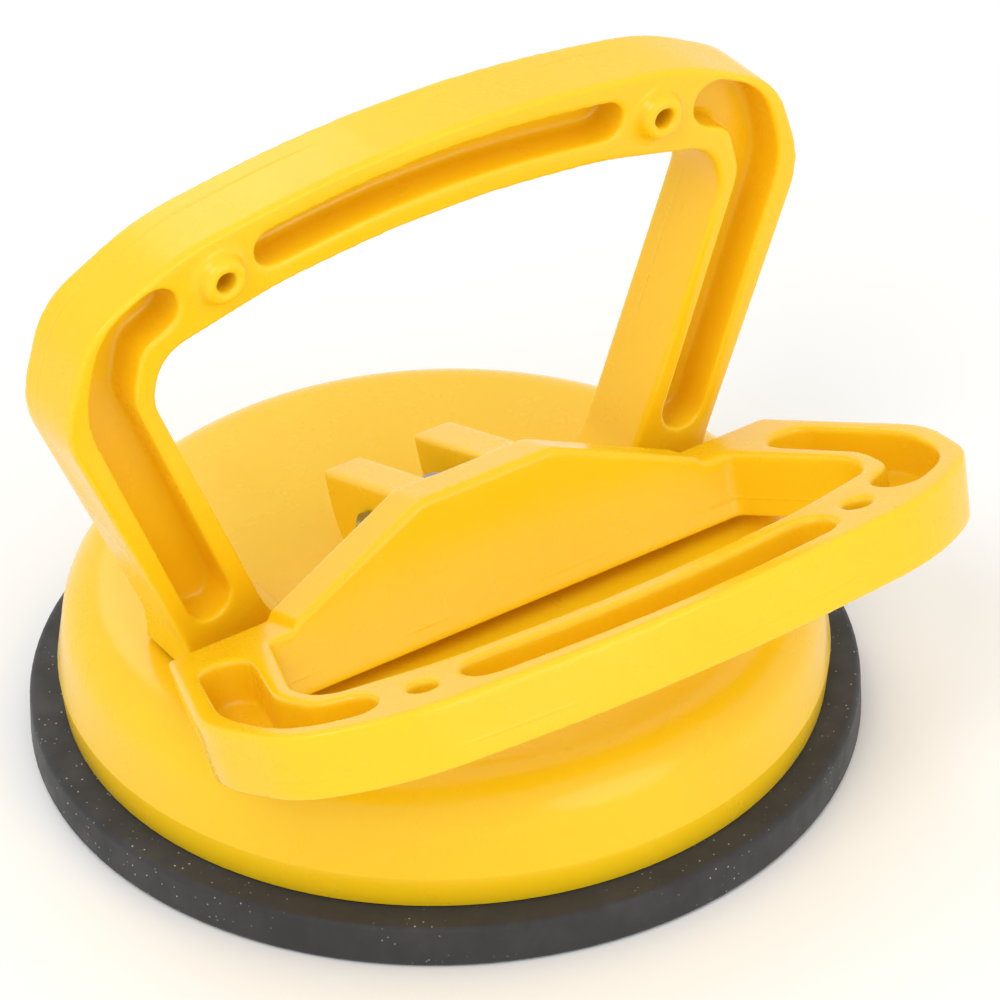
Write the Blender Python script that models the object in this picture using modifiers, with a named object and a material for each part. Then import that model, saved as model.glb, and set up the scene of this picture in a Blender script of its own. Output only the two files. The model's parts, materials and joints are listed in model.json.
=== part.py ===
"""Single-pad vacuum lifter with a folding lever, at rest with the lever open.

Metres, +Z up. X runs along the lever's hinge pin, -Y is the lever's side and
the origin is the centre of the rubber pad's underside.
"""
import math

import bmesh
import bpy
from mathutils import Matrix, Vector

MM = 0.001

# Rubber pad and the steel disc bonded into its middle
PAD_RADIUS = 59.0 * MM
PAD_THICKNESS = 6.4 * MM
PAD_LIP_WIDTH = 7.5 * MM
PAD_HOLLOW_DEPTH = 0.9 * MM
DISC_RADIUS = 20.0 * MM
DISC_THICKNESS = 2.2 * MM
DISC_BOTTOM = 3.4 * MM

# Dome: a hollow drum with a rounded shoulder and a flat top
DOME_BOTTOM = 6.6 * MM
DOME_CREASE_Z = 11.5 * MM
DOME_BASE_RADIUS = 54.1 * MM
DOME_CREASE_RADIUS = 54.6 * MM
DOME_TOP = 24.7 * MM
DOME_WALL = 3.2 * MM
DOME_CEILING = 19.7 * MM
SHOULDER_RADIUS = 8.0 * MM
GUIDE_RADIUS = 8.0 * MM
GUIDE_BOTTOM = 10.4 * MM

# Hinge pin and the tilt of the open lever
PIN_Z = 34.28 * MM
PIN_RADIUS = 2.0 * MM
PIN_LENGTH = 26.0 * MM
RING_RADIUS = 3.0 * MM
OPEN_TILT = math.radians(19.66)
PIN_ABOVE_LEVER_FACE = 3.22 * MM
PIN_BEHIND_FACE_LINE = 2.27 * MM

# Cams: the lever's fingers lift the pin as the lever closes
CAM_START = 9.88 * MM
CAM_LIFT = 2.0 * MM
CLOSING_ANGLE = math.radians(67.5)
FINGER_INNER = 4.3 * MM
FINGER_OUTER = 10.8 * MM

# Stem
STEM_RADIUS = 3.9 * MM
STEM_TOP = 37.4 * MM
STEM_FLANGE_RADIUS = 7.0 * MM
STEM_FLANGE_THICKNESS = 1.5 * MM

# Wear plate under the cams
PLATE_HALF_WIDTH = 10.5 * MM
PLATE_HALF_LENGTH = 9.0 * MM
PLATE_THICKNESS = 1.4 * MM
PLATE_TOP = 24.12 * MM

# Handle: a flat arch standing on the dome
HANDLE_FRONT_Y = -3.22 * MM
HANDLE_THICKNESS = 12.0 * MM
HANDLE_BOTTOM = 25.0 * MM
HANDLE_POCKET_DEPTH = 6.0 * MM
BOSS_X = 35.0 * MM
BOSS_Z = 86.8 * MM
BOSS_HEIGHT = 2.1 * MM

# Lever: a flat loop with a raised web and two fingers
LEVER_THICKNESS = 9.6 * MM
LEVER_REAR = 5.2 * MM
WEB_FRONT = 13.3 * MM
WEB_HEIGHT = 10.6 * MM
LEVER_POCKET_DEPTH = 6.5 * MM
LEVER_DRAFT = 0.982
LEVER_HOLE = (35.0 * MM, 48.7 * MM)

# Fasteners
SCREW_X = (33.4 * MM, 40.2 * MM)
SCREW_Y = 2.9 * MM
SCREW_RADIUS = 1.6 * MM
GAP = 0.3 * MM

CHORD_TOLERANCE = 0.03 * MM


# ---------------------------------------------------------------- scene setup
def clear_scene():
    for item in list(bpy.data.objects):
        bpy.data.objects.remove(item, do_unlink=True)


def new_collection(name, hidden=False):
    collection = bpy.data.collections.new(name)
    bpy.context.scene.collection.children.link(collection)
    collection.hide_render = hidden
    return collection


def material(name, colour, roughness, metallic=0.0):
    made = bpy.data.materials.new(name)
    made.use_nodes = True
    shader = made.node_tree.nodes["Principled BSDF"]
    shader.inputs["Base Color"].default_value = (*colour, 1.0)
    shader.inputs["Roughness"].default_value = roughness
    shader.inputs["Metallic"].default_value = metallic
    made.diffuse_color = (*colour, 1.0)
    return made


clear_scene()
PARTS = new_collection("vacuum_lifter")
CUTTERS = new_collection("vacuum_lifter_cutters", hidden=True)
YELLOW_DOME = material("yellow_dome_plastic", (0.93, 0.56, 0.02), 0.25)
YELLOW_HANDLE = material("yellow_handle_plastic", (0.93, 0.57, 0.02), 0.25)
YELLOW_LEVER = material("yellow_lever_plastic", (0.94, 0.58, 0.02), 0.25)
RUBBER = material("grey_rubber", (0.045, 0.045, 0.048), 0.75)
ZINC = material("zinc_plated_steel", (0.55, 0.56, 0.58), 0.35, 1.0)
BRIGHT = material("bright_steel", (0.45, 0.45, 0.46), 0.25, 1.0)


# ------------------------------------------------------------------- outlines
def rounded(corners, tolerance=CHORD_TOLERANCE):
    """Closed outline from (x, y, radius) corners, each rounded to its radius."""
    points = []
    count = len(corners)
    for index, (x, y, radius) in enumerate(corners):
        corner = Vector((x, y))
        before = (Vector(corners[index - 1][:2]) - corner).normalized()
        after = (Vector(corners[(index + 1) % count][:2]) - corner).normalized()
        turn = math.pi - before.angle(after)
        if radius <= 0.0 or turn < math.radians(0.5):
            points.append(corner)
            continue
        reach = radius * math.tan(turn / 2)
        centre = corner + (before + after).normalized() * radius / math.cos(turn / 2)
        start = corner + before * reach - centre
        end = corner + after * reach - centre
        steps = max(1, math.ceil(turn / (2 * math.acos(1 - min(tolerance / radius, 0.5)))))
        sweep = math.atan2(start.x * end.y - start.y * end.x, start.dot(end))
        for number in range(steps + 1):
            points.append(centre + Matrix.Rotation(sweep * number / steps, 2) @ start)
    return points


def rectangle(half_width, half_height, radius=0.0, centre=(0.0, 0.0)):
    """Rectangle outline with rounded corners."""
    signs = ((1, -1), (1, 1), (-1, 1), (-1, -1))
    return rounded([(centre[0] + i * half_width, centre[1] + j * half_height, radius) for i, j in signs])


def scaled(corners):
    return [(x * MM, y * MM, radius * MM) for x, y, radius in corners]


def channel(path, width):
    """Outline of a round-ended channel of one width along a rounded path."""
    bends = rounded(path)
    first = Vector(path[0][:2])
    last = Vector(path[-1][:2])
    bends = [first] + [p for p in bends if (p - first).length > 1e-6 and (p - last).length > 1e-6] + [last]
    half = width / 2
    left, right = [], []
    for index, point in enumerate(bends):
        ahead = bends[min(index + 1, len(bends) - 1)] - bends[max(index - 1, 0)]
        side = Vector((-ahead.y, ahead.x)).normalized() * half
        left.append(point + side)
        right.append(point - side)
    caps = 7
    end_cap = [last + Matrix.Rotation(-math.pi * k / caps, 2) @ (left[-1] - last) for k in range(1, caps)]
    start_cap = [first + Matrix.Rotation(-math.pi * k / caps, 2) @ (right[0] - first) for k in range(1, caps)]
    return left + end_cap + right[::-1] + start_cap


def arc_points(centre, radius, start, end, steps):
    """Points on an arc, angles in degrees."""
    angles = [math.radians(start + (end - start) * k / steps) for k in range(steps + 1)]
    return [(centre[0] + radius * math.cos(a), centre[1] + radius * math.sin(a)) for a in angles]


# --------------------------------------------------------------------- solids
def weld(mesh, distance=1e-6):
    work = bmesh.new()
    work.from_mesh(mesh)
    bmesh.ops.remove_doubles(work, verts=work.verts, dist=distance)
    bmesh.ops.recalc_face_normals(work, faces=work.faces)
    work.to_mesh(mesh)
    work.free()


def slab(name, outline, bottom, top, placement=None):
    """Outline in local XY, filled and extruded along local Z."""
    curve = bpy.data.curves.new(name, "CURVE")
    curve.dimensions = "2D"
    curve.fill_mode = "BOTH"
    curve.extrude = (top - bottom) / 2
    spline = curve.splines.new("POLY")
    spline.points.add(len(outline) - 1)
    for point, place in zip(spline.points, outline):
        point.co = (place[0], place[1], 0.0, 1.0)
    spline.use_cyclic_u = True
    holder = bpy.data.objects.new(name, curve)
    CUTTERS.objects.link(holder)
    mesh = bpy.data.meshes.new_from_object(holder)
    bpy.data.objects.remove(holder, do_unlink=True)
    mesh.transform(Matrix.Translation((0, 0, (top + bottom) / 2)))
    mesh.transform(placement or Matrix.Identity(4))
    weld(mesh)
    return bpy.data.objects.new(name, mesh)


def drafted(item, depth, centre, factor):
    """Scale the outline at one depth towards a centre, as a mould's draft does."""
    for vertex in item.data.vertices:
        if abs(vertex.co.z - depth) < 1e-6:
            vertex.co.x = centre.x + (vertex.co.x - centre.x) * factor
            vertex.co.y = centre.y + (vertex.co.y - centre.y) * factor


def turned(name, profile, steps=96, placement=None):
    """Solid of revolution about local Z from (radius, z) points, top to bottom."""
    mesh = bpy.data.meshes.new(name)
    work = bmesh.new()
    ring = [work.verts.new((radius, 0.0, z)) for radius, z in profile]
    edges = [work.edges.new((a, b)) for a, b in zip(ring, ring[1:])]
    if profile[0][0] > 1e-9:
        edges.append(work.edges.new((ring[-1], ring[0])))
    bmesh.ops.spin(work, geom=ring + edges, cent=(0, 0, 0), axis=(0, 0, 1),
                   angle=2 * math.pi, steps=steps, use_merge=True)
    bmesh.ops.remove_doubles(work, verts=work.verts, dist=1e-6)
    bmesh.ops.recalc_face_normals(work, faces=work.faces)
    work.to_mesh(mesh)
    work.free()
    mesh.transform(placement or Matrix.Identity(4))
    return bpy.data.objects.new(name, mesh)


def rod(name, radius, bottom, top, placement=None, sides=32):
    return turned(name, [(0.0, top), (radius, top), (radius, bottom), (0.0, bottom)], sides, placement)


def as_part(item, finish):
    PARTS.objects.link(item)
    item.data.materials.clear()
    item.data.materials.append(finish)
    return item


def combine(item, others, operation):
    """Apply one exact Boolean for each other solid, in order."""
    for other in others:
        CUTTERS.objects.link(other)
        other.display_type = "WIRE"
        other.hide_render = True
        modifier = item.modifiers.new(operation.lower(), "BOOLEAN")
        modifier.operation = operation
        modifier.solver = "EXACT"
        modifier.object = other


def soften(item, width, angle=50.0, segments=2):
    """Round the edges sharper than angle."""
    modifier = item.modifiers.new("soft edges", "BEVEL")
    modifier.width = width
    modifier.segments = segments
    modifier.limit_method = "ANGLE"
    modifier.angle_limit = math.radians(angle)
    modifier.use_clamp_overlap = True


def set_origin(item, place):
    """Put the object's origin at a world point without moving its shape."""
    item.data.transform(Matrix.Translation(-Vector(place)))
    item.location = place


# ----------------------------------------------------------------- placements
PIN = Vector((0.0, 0.0, PIN_Z))
LEVER_RUN = Vector((0.0, -math.cos(OPEN_TILT), math.sin(OPEN_TILT)))
LEVER_UP = Vector((0.0, math.sin(OPEN_TILT), math.cos(OPEN_TILT)))
LEVER_ORIGIN = PIN + LEVER_RUN * PIN_BEHIND_FACE_LINE - LEVER_UP * PIN_ABOVE_LEVER_FACE


def frame(x_axis, y_axis, z_axis, origin):
    """Matrix whose local axes are the given world directions."""
    turn = Matrix((x_axis, y_axis, z_axis)).transposed().to_4x4()
    return Matrix.Translation(origin) @ turn


X = Vector((1.0, 0.0, 0.0))
Y = Vector((0.0, 1.0, 0.0))
Z = Vector((0.0, 0.0, 1.0))
# Handle outlines are drawn as (x, z) and grow from the front face towards +Y
HANDLE_FRAME = frame(X, Z, -Y, Vector((0.0, HANDLE_FRONT_Y, 0.0)))
# Lever outlines are drawn as (x, v); v runs along the open lever, away from the hinge
LEVER_FRAME = frame(X, LEVER_RUN, -LEVER_UP, LEVER_ORIGIN)
# Web outline as (x, n), n being the height above the lever's face
WEB_FRAME = frame(X, LEVER_UP, LEVER_RUN, LEVER_ORIGIN)
# Sections across the hinge are drawn as (y, z) and run along X
SIDE_FRAME = frame(Y, Z, X, Vector((0.0, 0.0, 0.0)))
ALONG_X = Matrix.Rotation(math.radians(90), 4, "Y")


# ------------------------------------------------------------------ rubber pad
def build_pad():
    lip = PAD_RADIUS - PAD_LIP_WIDTH
    well = DISC_RADIUS + GAP
    return as_part(turned("rubber_pad", [
        (0.0, DISC_BOTTOM - GAP), (well, DISC_BOTTOM - GAP), (well, PAD_THICKNESS),
        (PAD_RADIUS - 0.7 * MM, PAD_THICKNESS), (PAD_RADIUS - 0.1 * MM, PAD_THICKNESS - 0.6 * MM),
        (PAD_RADIUS + 0.1 * MM, 0.5 * MM), (PAD_RADIUS - 0.4 * MM, 0.0), (lip, 0.0),
        (lip - 4 * MM, PAD_HOLLOW_DEPTH), (0.0, PAD_HOLLOW_DEPTH)], 128), RUBBER)


def build_disc():
    top = DISC_BOTTOM + DISC_THICKNESS
    tenon = 3.0 * MM + GAP
    return as_part(turned("pad_insert_disc", [
        (tenon, top), (DISC_RADIUS - 0.4 * MM, top), (DISC_RADIUS, top - 0.4 * MM),
        (DISC_RADIUS, DISC_BOTTOM), (tenon, DISC_BOTTOM)], 64), ZINC)


# ------------------------------------------------------------------------ dome
def dome_profile():
    """Outer side from the top's middle to the base, then back up inside."""
    shoulder = (DOME_CREASE_RADIUS - 0.9 * MM - SHOULDER_RADIUS, DOME_TOP - SHOULDER_RADIUS)
    outside = arc_points(shoulder, SHOULDER_RADIUS, 90, 4, 12)
    outside += [(DOME_CREASE_RADIUS, DOME_CREASE_Z), (DOME_BASE_RADIUS, DOME_BOTTOM)]
    inner = DOME_BASE_RADIUS - DOME_WALL
    inside = [(inner, DOME_BOTTOM), (inner - 0.6 * MM, DOME_CEILING - 8 * MM)]
    inside += arc_points((inner - 8.6 * MM, DOME_CEILING - 8 * MM), 8 * MM, 0, 90, 6)[1:]
    tube = [(GUIDE_RADIUS + 1 * MM, DOME_CEILING), (GUIDE_RADIUS, DOME_CEILING - 1 * MM),
            (GUIDE_RADIUS, GUIDE_BOTTOM)]
    bore = STEM_RADIUS + GAP
    return [(bore, DOME_TOP)] + outside + inside + tube + [(bore, GUIDE_BOTTOM)]


def screw_places():
    return [(side * x, SCREW_Y) for side in (-1, 1) for x in SCREW_X]


def build_dome():
    dome = as_part(turned("dome", dome_profile(), 128), YELLOW_DOME)
    half_width = PLATE_HALF_WIDTH + GAP
    half_length = PLATE_HALF_LENGTH + GAP
    outline = rectangle(half_width, half_length, 2 * MM)
    well = slab("plate_well", outline, PLATE_TOP - PLATE_THICKNESS - GAP, DOME_TOP + 3 * MM)
    holes = [rod("screw_hole", SCREW_RADIUS + GAP, DOME_CEILING - 2 * MM, DOME_TOP + 2 * MM,
                 Matrix.Translation((x, y, 0)), 20) for x, y in screw_places()]
    combine(dome, [well] + holes, "DIFFERENCE")
    return dome


def build_wear_plate():
    outline = rectangle(PLATE_HALF_WIDTH, PLATE_HALF_LENGTH, 1.7 * MM)
    plate = as_part(slab("wear_plate", outline, PLATE_TOP - PLATE_THICKNESS, PLATE_TOP), ZINC)
    hole = rod("plate_hole", STEM_RADIUS + GAP, PLATE_TOP - 4 * MM, PLATE_TOP + 2 * MM, None, 32)
    combine(plate, [hole], "DIFFERENCE")
    return plate


# ---------------------------------------------------------------------- handle
HANDLE_OUTLINE = scaled([
    (43.3, 21.0, 1.0), (43.1, 29.6, 12.0), (59.7, 70.6, 13.0), (55.6, 84.5, 12.0), (40.6, 92.3, 36.0),
    (0.0, 98.3, 190.0)])
HANDLE_OPENING = scaled([
    (24.6, 21.0, 2.0), (25.2, 27.0, 1.2), (30.0, 30.2, 9.0), (45.9, 71.2, 7.0), (44.4, 77.9, 6.0),
    (26.0, 82.3, 60.0), (0.0, 84.9, 150.0)])
HANDLE_LONG_POCKET = scaled([(-26.7, 88.3, 0), (0.0, 91.6, 150.0), (26.7, 88.3, 0)])
HANDLE_CORNER_POCKET = scaled([(44.7, 84.9, 0), (50.3, 82.4, 7.0), (52.7, 72.3, 12.0), (39.4, 36.6, 0)])


def flipped(path):
    return [(-x, y, radius) for x, y, radius in path]


def build_handle():
    left_outer = flipped(HANDLE_OUTLINE[:-1])
    left_inner = flipped(HANDLE_OPENING[:-1])
    arch = HANDLE_OUTLINE + left_outer[::-1] + left_inner + HANDLE_OPENING[::-1]
    handle = slab("handle", rounded(arch), -HANDLE_THICKNESS, 0.0, HANDLE_FRAME)
    as_part(handle, YELLOW_HANDLE)
    soften(handle, 1.6 * MM, segments=3)
    below = rectangle(60 * MM, 8 * MM, centre=(0.0, HANDLE_BOTTOM - 8 * MM))
    combine(handle, [slab("foot_trim", below, -15 * MM, 5 * MM, HANDLE_FRAME)], "DIFFERENCE")
    bosses = []
    for side in (-1, 1):
        place = HANDLE_FRAME @ Matrix.Translation((side * BOSS_X, BOSS_Z, 0))
        bosses.append(turned("boss", [
            (0.0, BOSS_HEIGHT), (2.7 * MM, BOSS_HEIGHT), (3.2 * MM, BOSS_HEIGHT - 0.4 * MM),
            (3.8 * MM, 0.0), (3.8 * MM, -1 * MM), (0.0, -1 * MM)], 32, place))
    combine(handle, bosses, "UNION")
    cutters = [slab("long_pocket", channel(HANDLE_LONG_POCKET, 5.6 * MM),
                    -HANDLE_POCKET_DEPTH, 3 * MM, HANDLE_FRAME)]
    for side in (-1, 1):
        path = HANDLE_CORNER_POCKET if side > 0 else flipped(HANDLE_CORNER_POCKET)
        outline = channel(path, 6.8 * MM)
        cutters.append(slab("corner_pocket", outline, -HANDLE_POCKET_DEPTH, 3 * MM, HANDLE_FRAME))
        place = HANDLE_FRAME @ Matrix.Translation((side * BOSS_X, BOSS_Z, 0))
        cutters.append(rod("boss_hole", 1.5 * MM, -5 * MM, 4 * MM, place, 20))
    for x, y in screw_places():
        place = Matrix.Translation((x, y, HANDLE_BOTTOM))
        cutters.append(rod("screw_pilot", SCREW_RADIUS + GAP, -2 * MM, 6.8 * MM, place, 20))
    combine(handle, cutters, "DIFFERENCE")
    return handle


# ----------------------------------------------------------------------- lever
LEVER_OUTLINE = scaled([
    (48.0, 1.2, 2.0), (59.6, 31.8, 15.0), (56.0, 46.6, 13.0), (44.0, 55.8, 34.0), (0.0, 61.2, 220.0)])
LEVER_OPENING = scaled([
    (37.8, 13.3, 0.6), (45.5, 32.6, 9.0), (43.8, 38.7, 5.0), (28.0, 42.9, 50.0), (0.0, 45.6, 150.0)])
LEVER_SLOT = scaled([(-25.9, 50.3, 0), (0.0, 53.3, 160.0), (25.9, 50.3, 0)])
LEVER_CORNER_POCKET = scaled([(44.3, 45.4, 0), (50.2, 42.4, 8.0), (52.0, 31.8, 12.0), (46.8, 17.0, 0)])
WEB_OUTLINE = scaled([(33.4, -4.0, 0), (33.4, 0.9, 0), (10.9, 10.6, 1.0), (-10.9, 10.6, 1.0),
                      (-33.4, 0.9, 0), (-33.4, -4.0, 0)])


def finger_outline():
    """Side view of a finger: web side, straight top, square end, cam underneath."""
    rate = CAM_LIFT / CLOSING_ANGLE
    last_angle = math.pi / 2 - OPEN_TILT
    cam = []
    steps = 12
    for number in range(steps + 1):
        angle = last_angle * number / steps
        normal = Vector((math.sin(angle), -math.cos(angle)))
        tangent = Vector((math.cos(angle), math.sin(angle)))
        reach = CAM_START + rate * angle
        cam.append(Vector((0.0, PIN_Z)) + normal * reach + tangent * rate)
    up = Vector((LEVER_UP.y, LEVER_UP.z))
    run = Vector((LEVER_RUN.y, LEVER_RUN.z))
    base = Vector((LEVER_ORIGIN.y, LEVER_ORIGIN.z))
    end_run = (cam[-1] - base).dot(run)
    top_end = base + run * end_run + up * (WEB_HEIGHT - 0.5 * MM)
    top_root = base + run * (LEVER_REAR + 4 * MM) + up * (WEB_HEIGHT - 0.5 * MM)
    low_root = base + run * (LEVER_REAR + 4 * MM) - up * 6.5 * MM
    low_front = Vector((-5.0 * MM, PIN_Z - CAM_START))
    return cam + [top_end, top_root, low_root, low_front]


def build_lever():
    outer = LEVER_OUTLINE + flipped(LEVER_OUTLINE[:-1])[::-1]
    opening = LEVER_OPENING + flipped(LEVER_OPENING[:-1])[::-1]
    lever = slab("lever", rounded(outer), 0.0, LEVER_THICKNESS, Matrix.Identity(4))
    drafted(lever, LEVER_THICKNESS, Vector((0.0, 33 * MM)), LEVER_DRAFT)
    lever.data.transform(LEVER_FRAME)
    as_part(lever, YELLOW_LEVER)
    soften(lever, 1.4 * MM, segments=3)
    behind = rectangle(70 * MM, 8 * MM, centre=(0.0, LEVER_REAR - 8 * MM))
    web = slab("web", rounded(WEB_OUTLINE), LEVER_REAR - 2 * MM, WEB_FRONT + 1 * MM, WEB_FRAME)
    combine(lever, [web], "UNION")
    combine(lever, [slab("rear_trim", behind, -15 * MM, 20 * MM, LEVER_FRAME)], "DIFFERENCE")
    fingers = []
    for low, high in ((-FINGER_OUTER, -FINGER_INNER), (FINGER_INNER, FINGER_OUTER)):
        fingers.append(slab("finger", finger_outline(), low, high, SIDE_FRAME))
    combine(lever, fingers, "UNION")
    cutters = [slab("opening", rounded(opening), -16 * MM, 16 * MM, LEVER_FRAME),
               slab("slot", channel(LEVER_SLOT, 7.0 * MM), -3 * MM, LEVER_POCKET_DEPTH, LEVER_FRAME)]
    for side in (-1, 1):
        path = LEVER_CORNER_POCKET if side > 0 else flipped(LEVER_CORNER_POCKET)
        outline = channel(path, 7.3 * MM)
        cutters.append(slab("corner_pocket", outline, -3 * MM, LEVER_POCKET_DEPTH, LEVER_FRAME))
        place = LEVER_FRAME @ Matrix.Translation((side * LEVER_HOLE[0], LEVER_HOLE[1], 0))
        cutters.append(rod("lever_hole", 1.95 * MM, -3 * MM, 5 * MM, place, 20))
    cutters.append(rod("pin_hole", PIN_RADIUS + 0.15 * MM, -20 * MM, 20 * MM,
                       Matrix.Translation(PIN) @ ALONG_X, 24))
    rest_cut = rectangle(70 * MM, 11.5 * MM, centre=(0.0, -18.5 * MM))
    cutters.append(slab("rest_flat", rest_cut, DOME_TOP - 8 * MM, DOME_TOP + GAP))
    combine(lever, cutters, "DIFFERENCE")
    set_origin(lever, PIN)
    return lever


# -------------------------------------------------------------- stem and hinge
def build_stem():
    flange_bottom = DISC_BOTTOM + DISC_THICKNESS + GAP
    flange_top = flange_bottom + STEM_FLANGE_THICKNESS
    crown = [(0.0, STEM_TOP), (STEM_RADIUS - 0.5 * MM, STEM_TOP), (STEM_RADIUS, STEM_TOP - 0.5 * MM)]
    foot = [(STEM_RADIUS, flange_top), (STEM_FLANGE_RADIUS, flange_top), (STEM_FLANGE_RADIUS, flange_bottom),
            (3.0 * MM, flange_bottom), (3.0 * MM, DISC_BOTTOM), (0.0, DISC_BOTTOM)]
    stem = as_part(turned("stem", crown + foot, 48), BRIGHT)
    eye = rod("stem_eye", PIN_RADIUS + 0.15 * MM, -8 * MM, 8 * MM, Matrix.Translation(PIN) @ ALONG_X, 24)
    combine(stem, [eye], "DIFFERENCE")
    set_origin(stem, (0.0, 0.0, DISC_BOTTOM))
    return stem


def build_pin():
    half = PIN_LENGTH / 2
    groove = FINGER_OUTER + 0.3 * MM
    depth = 0.5 * MM
    side = [(PIN_RADIUS - 0.4 * MM, half), (PIN_RADIUS, half - 0.4 * MM), (PIN_RADIUS, groove + 0.9 * MM),
            (PIN_RADIUS - depth, groove + 0.9 * MM), (PIN_RADIUS - depth, groove), (PIN_RADIUS, groove)]
    profile = [(0.0, half)] + side + [(r, -z) for r, z in reversed(side)] + [(0.0, -half)]
    pin = turned("hinge_pin", profile, 32, Matrix.Translation(PIN) @ ALONG_X)
    as_part(pin, BRIGHT)
    set_origin(pin, PIN)
    return pin


def build_rings():
    """Open retaining ring in each groove of the hinge pin, its mouth facing down."""
    inner = PIN_RADIUS - 0.3 * MM
    outline = arc_points((0, 0), RING_RADIUS, -40, 220, 24) + arc_points((0, 0), inner, 220, -40, 20)
    for side, label in ((-1, "left"), (1, "right")):
        near = FINGER_OUTER + 0.4 * MM
        low, high = sorted((side * near, side * (near + 0.7 * MM)))
        ring = slab("retaining_ring_" + label, outline, low, high, Matrix.Translation(PIN) @ SIDE_FRAME)
        as_part(ring, BRIGHT)
        set_origin(ring, PIN)


# ------------------------------------------------------------------- fasteners
def build_fasteners():
    names = ("outer_left", "inner_left", "inner_right", "outer_right")
    places = sorted(screw_places())
    washer_top = DOME_CEILING - GAP
    washer_bottom = washer_top - 0.8 * MM
    head_top = washer_bottom - GAP
    head_bottom = head_top - 2.2 * MM
    for label, (x, y) in zip(names, places):
        place = Matrix.Translation((x, y, 0))
        bore = SCREW_RADIUS + 0.2 * MM
        washer = turned("washer_" + label, [(bore, washer_top), (3.2 * MM, washer_top),
                                            (3.2 * MM, washer_bottom), (bore, washer_bottom)], 28, place)
        as_part(washer, ZINC)
        screw = turned("handle_screw_" + label, [
            (0.0, HANDLE_BOTTOM + 6.2 * MM), (0.7 * MM, HANDLE_BOTTOM + 6.0 * MM),
            (SCREW_RADIUS, HANDLE_BOTTOM + 4.8 * MM), (SCREW_RADIUS, head_top), (3.0 * MM, head_top),
            (3.0 * MM, head_bottom + 0.8 * MM), (2.2 * MM, head_bottom), (0.0, head_bottom)], 28, place)
        as_part(screw, ZINC)
        blades = []
        for turn in (0, 90):
            slot = rectangle(1.6 * MM, 0.35 * MM)
            spin = place @ Matrix.Rotation(math.radians(turn), 4, "Z")
            blades.append(slab("driver_slot", slot, head_bottom - 1 * MM, head_bottom + 1.1 * MM, spin))
        combine(screw, blades, "DIFFERENCE")


def main():
    build_pad()
    build_disc()
    build_dome()
    build_wear_plate()
    build_handle()
    build_lever()
    build_stem()
    build_pin()
    build_rings()
    build_fasteners()


main()
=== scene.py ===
"""Looks of the vacuum lifter: moulded yellow plastic on a grey rubber pad.

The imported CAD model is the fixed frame. The moulded parts are rebuilt from it with
rounded mould edges, and every piece gets a procedural material.
"""

import json
import math

import bmesh
import bpy
from mathutils import Matrix, Quaternion, Vector


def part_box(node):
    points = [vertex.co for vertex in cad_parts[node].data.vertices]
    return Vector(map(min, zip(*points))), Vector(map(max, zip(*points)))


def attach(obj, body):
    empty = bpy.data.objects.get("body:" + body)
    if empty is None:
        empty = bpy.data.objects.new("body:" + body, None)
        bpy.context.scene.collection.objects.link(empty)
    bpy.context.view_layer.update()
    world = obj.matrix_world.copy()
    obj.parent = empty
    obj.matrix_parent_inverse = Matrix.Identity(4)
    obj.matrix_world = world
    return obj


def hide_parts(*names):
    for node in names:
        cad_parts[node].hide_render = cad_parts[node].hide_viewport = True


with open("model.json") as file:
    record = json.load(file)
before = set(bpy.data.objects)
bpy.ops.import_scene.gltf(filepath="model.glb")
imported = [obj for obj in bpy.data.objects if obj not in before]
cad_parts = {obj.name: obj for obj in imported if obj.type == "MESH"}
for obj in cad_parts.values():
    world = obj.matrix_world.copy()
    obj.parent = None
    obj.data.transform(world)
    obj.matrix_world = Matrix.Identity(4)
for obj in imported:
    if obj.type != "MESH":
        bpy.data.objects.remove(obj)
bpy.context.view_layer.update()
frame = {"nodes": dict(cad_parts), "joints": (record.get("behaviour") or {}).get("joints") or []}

MM = 0.001

# Camera, aimed at a point near the object's middle
CAMERA_PLACE = Vector((-0.3432, -0.5362, 0.4839))
CAMERA_AIM = Vector((0.0164, 0.0097, 0.0227))
CAMERA_LENS = 201.8
CAMERA_SENSOR = 36.0
CAMERA_ROLL = math.radians(-1.33)

# The open lever's tilt, which its flat faces follow
LEVER_TILT = math.radians(19.66)
LEVER_UP = Vector((0.0, math.sin(LEVER_TILT), math.cos(LEVER_TILT)))

# Mould edges
FINE_VOXEL = 0.32 * MM
MOULD_ROUNDS = 26
KEPT_FACES = 0.42
CREASE_WIDTH = 0.35 * MM
CREASE_SEGMENTS = 3

# Cleaning a CAD mesh before it is rebuilt
WELD_DISTANCE = 0.002 * MM
FLAT_WITHIN = math.radians(0.4)

# Angles in degrees, past which an edge is creased, and past which it is shaded as sharp
DOME_CREASED = 12.0
DOME_SHARP = 24.0
PAD_CREASED = 30.0
PAD_SHARP = 30.0

# Where the two halves of each mould met
LEVER_PARTING_BELOW_PIN = 9.9 * MM
HANDLE_PARTING_FROM_BACK = 3.4 * MM
PARTING_CORE = 0.05 * MM
PARTING_EDGE = 0.28 * MM
PARTING_HEIGHT = 0.10 * MM

# Texture scales on the plastic, larger for finer detail
CLOUDS = 26.0
FLOW_STREAKS = 140.0
HANDLING = 60.0
SKIN = 420.0
WAVES = 55.0
PARTING_BREAKS = 45.0

# Texture scales on the rubber
WORN_PATCHES = 75.0
DUST_SPECKS = 900.0
DUST_PATCHES = 38.0
DULL_PATCHES = 180.0
GRAIN = 1500.0
LUMPS = 210.0

# Texture scales on the steel along X, Y and Z
TURNED_MARKS = (40.0, 40.0, 900.0)
CLOUDY_MARKS = (260.0, 260.0, 260.0)

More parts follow.
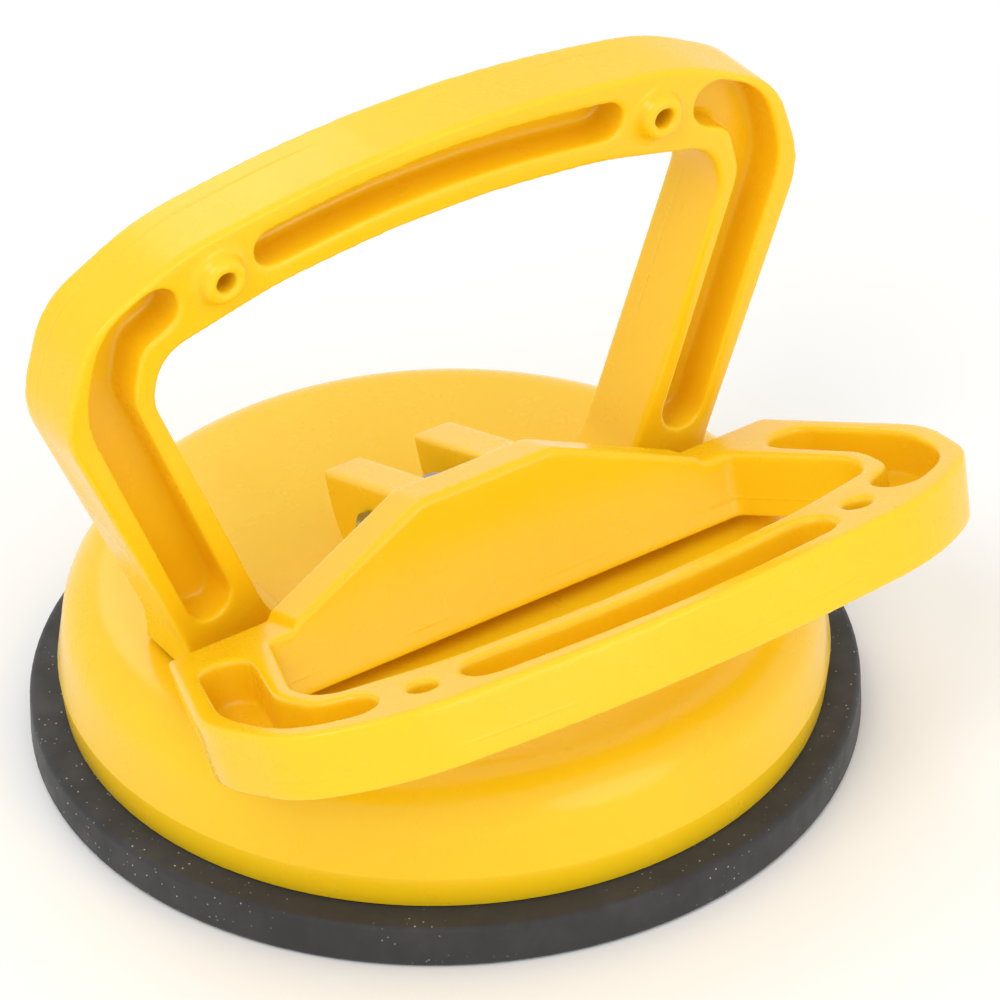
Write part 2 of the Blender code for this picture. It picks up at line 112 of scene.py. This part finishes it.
# Base colours, linear
YELLOW = (0.90, 0.565, 0.007)
YELLOW_DEEP = (0.895, 0.545, 0.005)
YELLOW_PALE = (0.91, 0.58, 0.014)
RUBBER = (0.024, 0.024, 0.025)
RUBBER_WORN = (0.033, 0.033, 0.034)
DUST = (0.62, 0.62, 0.60)
STEEL = (0.42, 0.42, 0.43)
ZINC = (0.56, 0.57, 0.59)
FLOOR_DARK = (0.86, 0.86, 0.85)
FLOOR_LIGHT = (0.89, 0.89, 0.88)

# Stage, in metres and watts
FLOOR_SIZE = 4.0
FLOOR_DROP = 0.1 * MM
WORLD_STRENGTH = 0.96
LIGHTS = (
    # name, place, aim, size, power
    ("key", (-0.50, -0.30, 0.75), (0.0, 0.0, 0.03), 0.50, 2.2),
    ("fill", (0.20, -0.90, 0.28), (0.0, 0.0, 0.03), 0.60, 1.6),
    ("back", (0.15, 0.80, 0.70), (0.0, 0.0, 0.05), 0.50, 1.0),
)


# ------------------------------------------------------------------ node helpers
class Graph:
    """Short names for building one material's nodes."""

    def __init__(self, name):
        self.material = bpy.data.materials.new(name)
        self.material.use_nodes = True
        self.tree = self.material.node_tree
        self.shader = self.tree.nodes["Principled BSDF"]
        self.place = self.node("ShaderNodeTexCoord").outputs["Object"]

    def node(self, kind, **settings):
        made = self.tree.nodes.new(kind)
        for key, value in settings.items():
            setattr(made, key, value)
        return made

    def link(self, source, target):
        self.tree.links.new(source, target)

    def noise(self, scale, detail=3.0, roughness=0.5, place=None):
        made = self.node("ShaderNodeTexNoise")
        made.inputs["Scale"].default_value = scale
        made.inputs["Detail"].default_value = detail
        made.inputs["Roughness"].default_value = roughness
        self.link(place or self.place, made.inputs["Vector"])
        return made.outputs["Fac"]

    def stretched(self, scale):
        made = self.node("ShaderNodeMapping")
        made.inputs["Scale"].default_value = scale
        self.link(self.place, made.inputs["Vector"])
        return made.outputs["Vector"]

    def remap(self, value, low, high, to_low=0.0, to_high=1.0):
        made = self.node("ShaderNodeMapRange")
        made.interpolation_type = "SMOOTHSTEP"
        ends = (("From Min", low), ("From Max", high), ("To Min", to_low), ("To Max", to_high))
        for name, number in ends:
            made.inputs[name].default_value = number
        self.link(value, made.inputs["Value"])
        return made.outputs["Result"]

    def maths(self, operation, first, second):
        made = self.node("ShaderNodeMath", operation=operation)
        for socket, value in zip(made.inputs, (first, second)):
            if isinstance(value, (int, float)):
                socket.default_value = value
            else:
                self.link(value, socket)
        return made.outputs["Value"]

    def mix(self, factor, first, second):
        made = self.node("ShaderNodeMix", data_type="RGBA")
        self.link(factor, made.inputs["Factor"])
        for name, value in (("A", first), ("B", second)):
            socket = [s for s in made.inputs if s.name == name and s.type == "RGBA"][0]
            if isinstance(value, tuple):
                socket.default_value = (*value, 1.0)
            else:
                self.link(value, socket)
        return [s for s in made.outputs if s.type == "RGBA"][0]

    def bump(self, height, strength, distance, below=None):
        made = self.node("ShaderNodeBump")
        made.inputs["Strength"].default_value = strength
        made.inputs["Distance"].default_value = distance
        self.link(height, made.inputs["Height"])
        if below is not None:
            self.link(below, made.inputs["Normal"])
        return made.outputs["Normal"]

    def distance_along(self, direction, offset):
        """Signed distance of the surface point past a plane, in metres."""
        made = self.node("ShaderNodeVectorMath", operation="DOT_PRODUCT")
        made.inputs[1].default_value = direction
        self.link(self.place, made.inputs[0])
        return self.maths("SUBTRACT", made.outputs["Value"], offset)


# -------------------------------------------------------------------- materials
def plastic(name, parting=None, seed=0.0):
    """Glossy moulded plastic, with a faint parting line on the plane (direction, offset)."""
    g = Graph(name)
    moved = g.node("ShaderNodeMapping")
    moved.inputs["Location"].default_value = (seed, seed * 0.7, seed * 0.3)
    g.link(g.place, moved.inputs["Vector"])
    place = moved.outputs["Vector"]
    broad = g.noise(CLOUDS, 2.0, 0.5, place)
    cloudy = g.remap(broad, 0.35, 0.68)
    colour = g.mix(cloudy, YELLOW_DEEP, YELLOW)
    flow = g.noise(FLOW_STREAKS, 4.0, 0.6, place)
    streaks = g.remap(flow, 0.56, 0.74, 0.0, 0.35)
    colour = g.mix(streaks, colour, YELLOW_PALE)
    g.link(colour, g.shader.inputs["Base Color"])
    handled = g.noise(HANDLING, 5.0, 0.65, place)
    g.link(g.remap(handled, 0.3, 0.75, 0.20, 0.34), g.shader.inputs["Roughness"])
    g.shader.inputs["IOR"].default_value = 1.49
    g.shader.inputs["Specular IOR Level"].default_value = 0.38
    g.shader.inputs["Coat Weight"].default_value = 0.05
    g.shader.inputs["Coat Roughness"].default_value = 0.10
    g.shader.inputs["Subsurface Weight"].default_value = 0.22
    g.shader.inputs["Subsurface Radius"].default_value = (1.0, 0.55, 0.08)
    g.shader.inputs["Subsurface Scale"].default_value = 3.0 * MM
    skin = g.bump(g.noise(SKIN, 2.0, 0.5, place), 0.10, 0.04 * MM)
    normal = g.bump(g.noise(WAVES, 1.0, 0.4, place), 0.05, 0.08 * MM, skin)
    if parting is not None:
        direction, offset = parting
        away = g.maths("ABSOLUTE", g.distance_along(direction, offset), 0.0)
        ridge = g.remap(away, PARTING_CORE, PARTING_EDGE, 1.0, 0.0)
        broken = g.maths("MULTIPLY", ridge, g.remap(g.noise(PARTING_BREAKS), 0.38, 0.55))
        normal = g.bump(broken, 0.55, PARTING_HEIGHT, normal)
    g.link(normal, g.shader.inputs["Normal"])
    return g.material


def rubber(name):
    """Matt grey rubber with paler worn patches, moulding grain and pale dust."""
    g = Graph(name)
    worn = g.remap(g.noise(WORN_PATCHES, 5.0, 0.65), 0.42, 0.72)
    colour = g.mix(worn, RUBBER, RUBBER_WORN)
    specks = g.node("ShaderNodeTexVoronoi")
    specks.inputs["Scale"].default_value = DUST_SPECKS
    g.link(g.place, specks.inputs["Vector"])
    dots = g.remap(specks.outputs["Distance"], 0.05, 0.16, 1.0, 0.0)
    patches = g.remap(g.noise(DUST_PATCHES, 3.0, 0.6), 0.44, 0.62)
    dusty = g.maths("MULTIPLY", dots, patches)
    colour = g.mix(g.maths("MULTIPLY", dusty, 0.75), colour, DUST)
    g.link(colour, g.shader.inputs["Base Color"])
    g.link(g.remap(g.noise(DULL_PATCHES), 0.3, 0.7, 0.58, 0.78), g.shader.inputs["Roughness"])
    g.shader.inputs["Specular IOR Level"].default_value = 0.42
    g.shader.inputs["Sheen Weight"].default_value = 0.08
    g.shader.inputs["Sheen Roughness"].default_value = 0.5
    grain = g.bump(g.noise(GRAIN, 2.0, 0.6), 0.30, 0.06 * MM)
    lumpy = g.bump(g.noise(LUMPS, 3.0, 0.5), 0.22, 0.10 * MM, grain)
    g.link(lumpy, g.shader.inputs["Normal"])
    return g.material


def steel(name, colour, dull, turned):
    """Bare or plated steel, with fine marks round Z when turned and cloudy ones otherwise."""
    g = Graph(name)
    place = g.stretched(TURNED_MARKS if turned else CLOUDY_MARKS)
    marks = g.noise(1.0, 4.0, 0.6, place)
    tint = tuple(c * 0.72 for c in colour)
    g.link(g.mix(g.remap(marks, 0.3, 0.7), tint, colour), g.shader.inputs["Base Color"])
    g.link(g.remap(marks, 0.3, 0.7, dull, dull + 0.16), g.shader.inputs["Roughness"])
    g.shader.inputs["Metallic"].default_value = 1.0
    g.link(g.bump(marks, 0.15, 0.02 * MM), g.shader.inputs["Normal"])
    return g.material


# ----------------------------------------------------------------------- pieces
def fresh_copy(node, name):
    """A welded copy of a CAD node's mesh, with its flat faces made whole again."""
    mesh = frame["nodes"][node].data.copy()
    work = bmesh.new()
    work.from_mesh(mesh)
    bmesh.ops.remove_doubles(work, verts=work.verts, dist=WELD_DISTANCE)
    bmesh.ops.dissolve_limit(work, angle_limit=FLAT_WITHIN, verts=work.verts, edges=work.edges,
                             delimit={"NORMAL"})
    work.to_mesh(mesh)
    work.free()
    mesh.name = name
    piece = bpy.data.objects.new(name, mesh)
    bpy.context.scene.collection.objects.link(piece)
    return piece


def apply_modifiers(piece):
    bpy.context.view_layer.update()
    evaluated = piece.evaluated_get(bpy.context.evaluated_depsgraph_get())
    made = bpy.data.meshes.new_from_object(evaluated)
    piece.modifiers.clear()
    piece.data = made


def stand_in(piece, node, body, material):
    piece.data.materials.clear()
    piece.data.materials.append(material)
    for polygon in piece.data.polygons:
        polygon.use_smooth = True
        polygon.material_index = 0
    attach(piece, body)
    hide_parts(node)


def moulded(node, name, tilt=0.0):
    """Rebuild a node with every edge rounded, inside and out, as a mould leaves it."""
    piece = fresh_copy(node, name)
    square = Matrix.Rotation(tilt, 4, "X")
    piece.data.transform(square)
    remesh = piece.modifiers.new("fine mesh", "REMESH")
    remesh.mode = "VOXEL"
    remesh.voxel_size = FINE_VOXEL
    smooth = piece.modifiers.new("mould edges", "SMOOTH")
    smooth.factor = 0.5
    smooth.iterations = MOULD_ROUNDS
    thin = piece.modifiers.new("fewer faces", "DECIMATE")
    thin.ratio = KEPT_FACES
    apply_modifiers(piece)
    piece.data.transform(square.inverted())
    return piece


def creased(node, name, limit):
    """Rebuild a turned node with its creases narrowly rounded."""
    piece = fresh_copy(node, name)
    bevel = piece.modifiers.new("creases", "BEVEL")
    bevel.width = CREASE_WIDTH
    bevel.segments = CREASE_SEGMENTS
    bevel.limit_method = "ANGLE"
    bevel.angle_limit = math.radians(limit)
    apply_modifiers(piece)
    return piece


def hold_sharp(piece, degrees):
    piece.data.set_sharp_from_angle(angle=math.radians(degrees))


def joint_place(name):
    """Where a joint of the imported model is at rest."""
    return Vector(next(joint["pos_m"] for joint in frame["joints"] if joint["name"] == name))


def build_lever():
    lever = moulded("lever", "lever_moulding", LEVER_TILT)
    pin = joint_place("lever_hinge")
    parting = (LEVER_UP, pin.dot(LEVER_UP) - LEVER_PARTING_BELOW_PIN)
    stand_in(lever, "lever", "cam_lever",
             plastic("lever_plastic", parting, seed=3.1))


def build_handle():
    handle = moulded("handle", "handle_moulding")
    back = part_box("handle")[1].y
    parting = (Vector((0.0, 1.0, 0.0)), back - HANDLE_PARTING_FROM_BACK)
    stand_in(handle, "handle", "lifter_body",
             plastic("handle_plastic", parting, seed=7.7))


def build_dome():
    dome = creased("dome", "dome_moulding", DOME_CREASED)
    stand_in(dome, "dome", "lifter_body", plastic("dome_plastic", seed=1.3))
    hold_sharp(dome, DOME_SHARP)


def build_pad():
    pad = creased("rubber_pad", "rubber_pad_moulding", PAD_CREASED)
    stand_in(pad, "rubber_pad", "lifter_body", rubber("pad_rubber"))
    hold_sharp(pad, PAD_SHARP)


def finish_steel():
    """Materials for the CAD nodes that stay as they are."""
    turned = steel("turned_steel", STEEL, 0.22, True)
    plated = steel("zinc_plate", ZINC, 0.30, False)
    bright = ("stem", "hinge_pin", "retaining_ring_left", "retaining_ring_right")
    for name, node in frame["nodes"].items():
        if node.hide_render:
            continue
        for slot in node.material_slots:
            slot.material = turned if name in bright else plated


# ------------------------------------------------------------------------ stage
def add_light(name, place, aim, size, power):
    data = bpy.data.lights.new(name, "AREA")
    data.shape = "DISK"
    data.size = size
    data.energy = power
    lamp = bpy.data.objects.new(name, data)
    lamp.location = place
    lamp.rotation_euler = (Vector(aim) - Vector(place)).to_track_quat("-Z", "Y").to_euler()
    bpy.context.scene.collection.objects.link(lamp)


def build_stage():
    mesh = bpy.data.meshes.new("floor")
    work = bmesh.new()
    bmesh.ops.create_grid(work, x_segments=1, y_segments=1, size=FLOOR_SIZE)
    work.to_mesh(mesh)
    work.free()
    floor = bpy.data.objects.new("floor", mesh)
    floor.location.z = -FLOOR_DROP
    bpy.context.scene.collection.objects.link(floor)
    g = Graph("pale_floor")
    shade = g.remap(g.noise(3.0, 2.0, 0.5), 0.3, 0.7)
    g.link(g.mix(shade, FLOOR_DARK, FLOOR_LIGHT), g.shader.inputs["Base Color"])
    g.shader.inputs["Roughness"].default_value = 0.8
    mesh.materials.append(g.material)

    world = bpy.data.worlds.new("studio")
    world.use_nodes = True
    background = world.node_tree.nodes["Background"]
    background.inputs["Color"].default_value = (1.0, 1.0, 1.0, 1.0)
    background.inputs["Strength"].default_value = WORLD_STRENGTH
    bpy.context.scene.world = world

    for light in LIGHTS:
        add_light(*light)


def build_camera():
    data = bpy.data.cameras.new("camera")
    data.lens = CAMERA_LENS
    data.sensor_width = CAMERA_SENSOR
    data.clip_start = 0.01
    data.clip_end = 20.0
    camera = bpy.data.objects.new("camera", data)
    aim = (CAMERA_AIM - CAMERA_PLACE).to_track_quat("-Z", "Y")
    camera.location = CAMERA_PLACE
    camera.rotation_euler = (aim @ Quaternion((0.0, 0.0, 1.0), CAMERA_ROLL)).to_euler()
    bpy.context.scene.collection.objects.link(camera)
    bpy.context.scene.camera = camera


build_pad()
build_dome()
build_handle()
build_lever()
finish_steel()
build_stage()
build_camera()
bpy.context.scene.view_settings.view_transform = "Standard"
